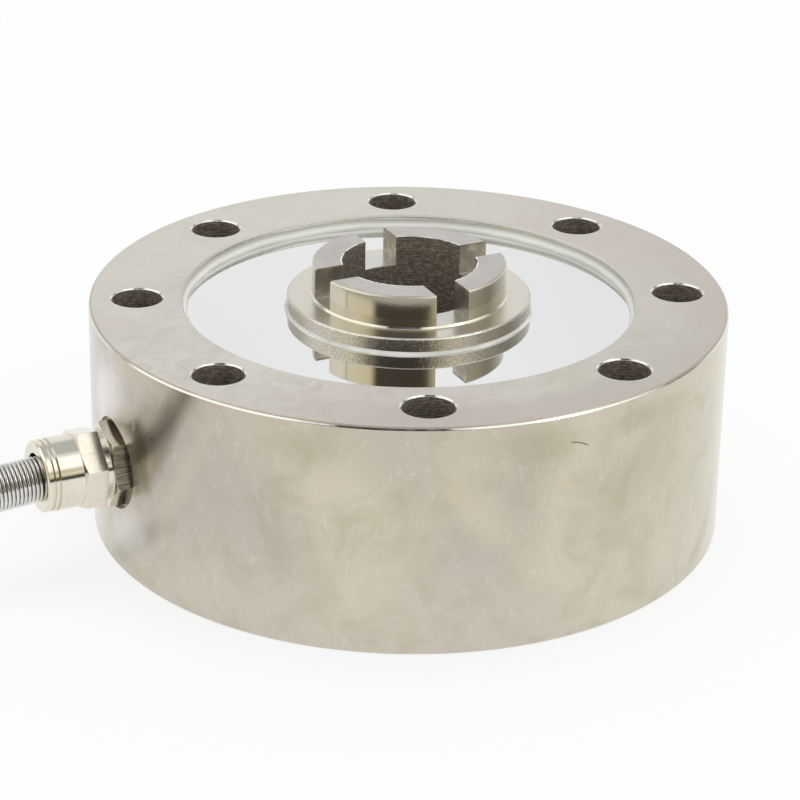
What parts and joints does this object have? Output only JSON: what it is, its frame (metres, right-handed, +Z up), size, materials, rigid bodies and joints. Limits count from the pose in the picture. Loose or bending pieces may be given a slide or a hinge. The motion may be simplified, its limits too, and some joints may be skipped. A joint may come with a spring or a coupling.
{
  "type": "pancake load cell",
  "caption": "Spoke-type pancake load cell: a thick bolted steel ring, a slotted central hub, sealed cover plates and a side cable gland with a spring.",
  "frame": {"origin": "centre of the bolt circle on the flat base face", "axes": "+Z up along the loading axis, -X towards the cable gland"},
  "size_m": [0.2812, 0.1257, 0.0465],
  "materials": {
    "machined_steel": "turned and plated steel, softly bright, with faint brown and olive clouding",
    "mirror_plate": "polished sheet steel, mirror bright",
    "sealant": "clear to white silicone, glossy",
    "washer_fibre": "olive grey fibre, dull",
    "washer_rubber": "black rubber, dull",
    "gland_nickel": "nickel plated brass, bright, with turning lines",
    "spring_steel": "bright drawn spring wire",
    "cable_sheath": "light grey sheath, satin",
    "tie_nylon": "black nylon, satin",
    "core_red": "red insulation, satin",
    "core_black": "black insulation, satin",
    "core_green": "green insulation, satin",
    "core_white": "white insulation, satin",
    "core_shield": "tinned braid, twisted",
    "board_laminate": "green glass laminate",
    "tinned_pins": "tinned pins",
    "chip_ceramic": "dark chips",
    "harness_wire": "enamelled and insulated wire",
    "gauge_foil": "foil gauges on amber film, coated"
  },
  "bodies": {
    "root": {"elastic_body": "machined_steel", "top_cover": "mirror_plate", "bottom_cover": "mirror_plate", "top_outer_seal": "sealant", "bottom_outer_seal": "sealant", "top_inner_seal": "sealant", "bottom_inner_seal": "sealant", "gland_washer": "washer_fibre", "gland_body": "gland_nickel", "gland_cap": "gland_nickel", "gland_grommet": "washer_rubber", "clamp_ring": "gland_nickel", "relief_spring": "spring_steel", "cable_lead": "cable_sheath", "cable_coil": "cable_sheath", "cable_tail": "cable_sheath", "cable_tie": "tie_nylon", "lead_red": "core_red", "lead_black": "core_black", "lead_green": "core_green", "lead_white": "core_white", "lead_shield": "core_shield", "terminal_board": "board_laminate", "solder_terminals": "tinned_pins", "trim_resistors": "chip_ceramic", "bridge_harness": "harness_wire", "core_wires": "harness_wire", "shear_gauge_1": "gauge_foil", "shear_gauge_2": "gauge_foil", "shear_gauge_3": "gauge_foil", "shear_gauge_4": "gauge_foil", "shear_gauge_5": "gauge_foil", "shear_gauge_6": "gauge_foil", "shear_gauge_7": "gauge_foil", "shear_gauge_8": "gauge_foil"}
  },
  "joints": []
}
